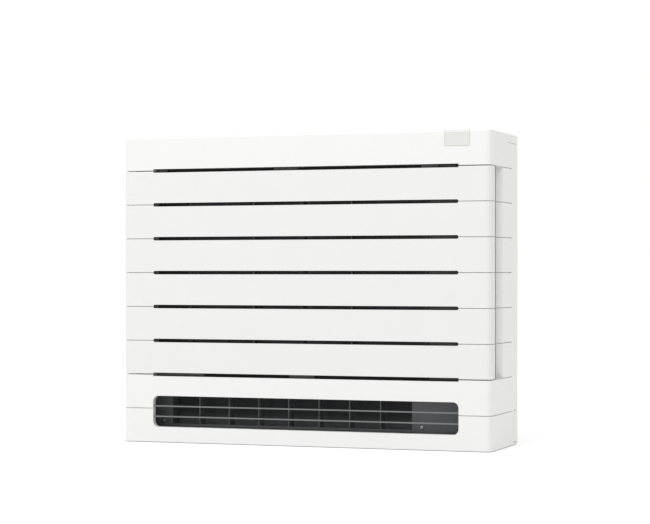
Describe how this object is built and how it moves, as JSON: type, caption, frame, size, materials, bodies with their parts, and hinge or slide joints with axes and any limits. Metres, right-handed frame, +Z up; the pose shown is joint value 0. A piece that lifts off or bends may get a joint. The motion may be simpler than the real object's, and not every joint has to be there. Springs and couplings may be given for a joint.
{
  "type": "low-wall console air conditioner",
  "caption": "White low-wall console air conditioner indoor unit with a slit front panel that tilts open, an upper flap with louvers and a lower outlet with bars.",
  "frame": {"origin": "middle of the footprint, on the floor plane under the base plate", "axes": "+X to the right as one faces the front, +Y back to the wall, +Z up"},
  "size_m": [0.75, 0.238, 0.6],
  "materials": {
    "casing_white": "fine satin grain",
    "panel_white": "fine satin grain",
    "window_pale": "polished",
    "base_dark": "black paint",
    "frame_grey": "moulded",
    "duct_dark": "moulded, dark grey",
    "bar_grey": "moulded, mid grey",
    "surround_dark": "moulded, near black",
    "mesh_black": "woven mesh in a frame",
    "cartridge_grey": "honeycomb",
    "louver_grey": "moulded, dark grey",
    "fan_grey": "glass filled",
    "motor_black": "black paint",
    "motor_pale": "moulded",
    "steel": "zinc plated sheet",
    "bright_steel": "zinc plated",
    "fin_aluminium": "hydrophilic coat",
    "copper": "drawn tube",
    "brass": "turned",
    "rubber": "soft",
    "board_green": "solder mask"
  },
  "bodies": {
    "chassis": {"front_casing": "casing_white", "top_rear_cover": "casing_white", "pipe_cover_left": "casing_white", "pipe_cover_right": "casing_white", "display_window": "window_pale", "base_plate": "base_dark", "rear_frame": "frame_grey", "bell_mouth": "frame_grey", "drain_pan": "frame_grey", "drain_spout": "frame_grey", "upper_duct": "frame_grey", "lower_duct": "duct_dark", "outlet_bars": "bar_grey", "filter_latches": "bar_grey", "panel_catches": "bar_grey", "inlet_surround": "surround_dark", "air_filter_left": "mesh_black", "air_filter_right": "mesh_black", "deodorisers": "cartridge_grey", "fan_motor": "motor_black", "flap_motor": "motor_pale", "louver_motor": "motor_pale", "damper_motor": "motor_pale", "switch_block": "motor_pale", "terminal_block": "motor_pale", "wall_plate": "steel", "coil_end_left": "steel", "coil_end_right": "steel", "electrical_box": "steel", "electrical_cover": "steel", "motor_bracket": "steel", "case_screws": "bright_steel", "motor_screws": "bright_steel", "coil_fins": "fin_aluminium", "coil_bends": "copper", "gas_pipe": "copper", "liquid_pipe": "copper", "gas_union": "brass", "liquid_union": "brass", "motor_mounts": "rubber", "control_board": "board_green", "display_board": "board_green"},
    "panel": {"front_panel": "panel_white", "panel_pins": "bright_steel", "panel_stays": "surround_dark"},
    "flap": {"upper_flap": "casing_white"},
    "damper": {"lower_damper": "surround_dark"},
    "rotor": {"turbo_fan": "fan_grey", "motor_shaft": "bright_steel", "fan_nut": "bright_steel"},
    "link": {"louver_link": "louver_grey"},
    "button": {"on_off_button": "motor_pale"},
    "louver_1": {"louver_1": "louver_grey"},
    "louver_2": {"louver_2": "louver_grey"},
    "louver_3": {"louver_3": "louver_grey"},
    "louver_4": {"louver_4": "louver_grey"},
    "louver_5": {"louver_5": "louver_grey"},
    "louver_6": {"louver_6": "louver_grey"},
    "louver_7": {"louver_7": "louver_grey"},
    "louver_8": {"louver_8": "louver_grey"}
  },
  "joints": [
    {"name": "panel_tilt", "type": "hinge", "parent": "chassis", "child": "panel", "pos_m": [0, -0.115, 0.13813], "axis": [1, 0, 0], "range_deg": [0, 30]},
    {"name": "flap_turn", "type": "hinge", "parent": "chassis", "child": "flap", "pos_m": [0, -0.009, 0.595], "axis": [-1, 0, 0], "range_deg": [0, 80]},
    {"name": "damper_turn", "type": "hinge", "parent": "chassis", "child": "damper", "pos_m": [0, -0.022, 0.087], "axis": [1, 0, 0], "range_deg": [0, 75]},
    {"name": "fan_spin", "type": "hinge", "parent": "chassis", "child": "rotor", "pos_m": [0, 0, 0.3089], "axis": [0, 1, 0], "continuous": true},
    {"name": "louver_1_turn", "type": "hinge", "parent": "chassis", "child": "louver_1", "pos_m": [-0.21659, -0.03, 0.556], "axis": [0, 0, 1], "range_deg": [-25, 25]},
    {"name": "louver_2_turn", "type": "hinge", "parent": "chassis", "child": "louver_2", "pos_m": [-0.15471, -0.03, 0.556], "axis": [0, 0, 1], "range_deg": [-25, 25]},
    {"name": "louver_3_turn", "type": "hinge", "parent": "chassis", "child": "louver_3", "pos_m": [-0.09282, -0.03, 0.556], "axis": [0, 0, 1], "range_deg": [-25, 25]},
    {"name": "louver_4_turn", "type": "hinge", "parent": "chassis", "child": "louver_4", "pos_m": [-0.03094, -0.03, 0.556], "axis": [0, 0, 1], "range_deg": [-25, 25]},
    {"name": "louver_5_turn", "type": "hinge", "parent": "chassis", "child": "louver_5", "pos_m": [0.03094, -0.03, 0.556], "axis": [0, 0, 1], "range_deg": [-25, 25]},
    {"name": "louver_6_turn", "type": "hinge", "parent": "chassis", "child": "louver_6", "pos_m": [0.09282, -0.03, 0.556], "axis": [0, 0, 1], "range_deg": [-25, 25]},
    {"name": "louver_7_turn", "type": "hinge", "parent": "chassis", "child": "louver_7", "pos_m": [0.15471, -0.03, 0.556], "axis": [0, 0, 1], "range_deg": [-25, 25]},
    {"name": "louver_8_turn", "type": "hinge", "parent": "chassis", "child": "louver_8", "pos_m": [0.21659, -0.03, 0.556], "axis": [0, 0, 1], "range_deg": [-25, 25]},
    {"name": "link_shift", "type": "slide", "parent": "chassis", "child": "link", "axis": [1, 0, 0], "range_m": [-0.0068, 0.0068]},
    {"name": "button_press", "type": "slide", "parent": "chassis", "child": "button", "axis": [0, 1, 0], "range_m": [0, 0.0012], "stiffness_N_per_m": 300, "springref_m": -0.0006}
  ],
  "couplings": [
    {"joint": "louver_1_turn", "follows": "link_shift", "rad_per_m": -63.5},
    {"joint": "louver_2_turn", "follows": "link_shift", "rad_per_m": -63.5},
    {"joint": "louver_3_turn", "follows": "link_shift", "rad_per_m": -63.5},
    {"joint": "louver_4_turn", "follows": "link_shift", "rad_per_m": -63.5},
    {"joint": "louver_5_turn", "follows": "link_shift", "rad_per_m": -63.5},
    {"joint": "louver_6_turn", "follows": "link_shift", "rad_per_m": -63.5},
    {"joint": "louver_7_turn", "follows": "link_shift", "rad_per_m": -63.5},
    {"joint": "louver_8_turn", "follows": "link_shift", "rad_per_m": -63.5}
  ]
}
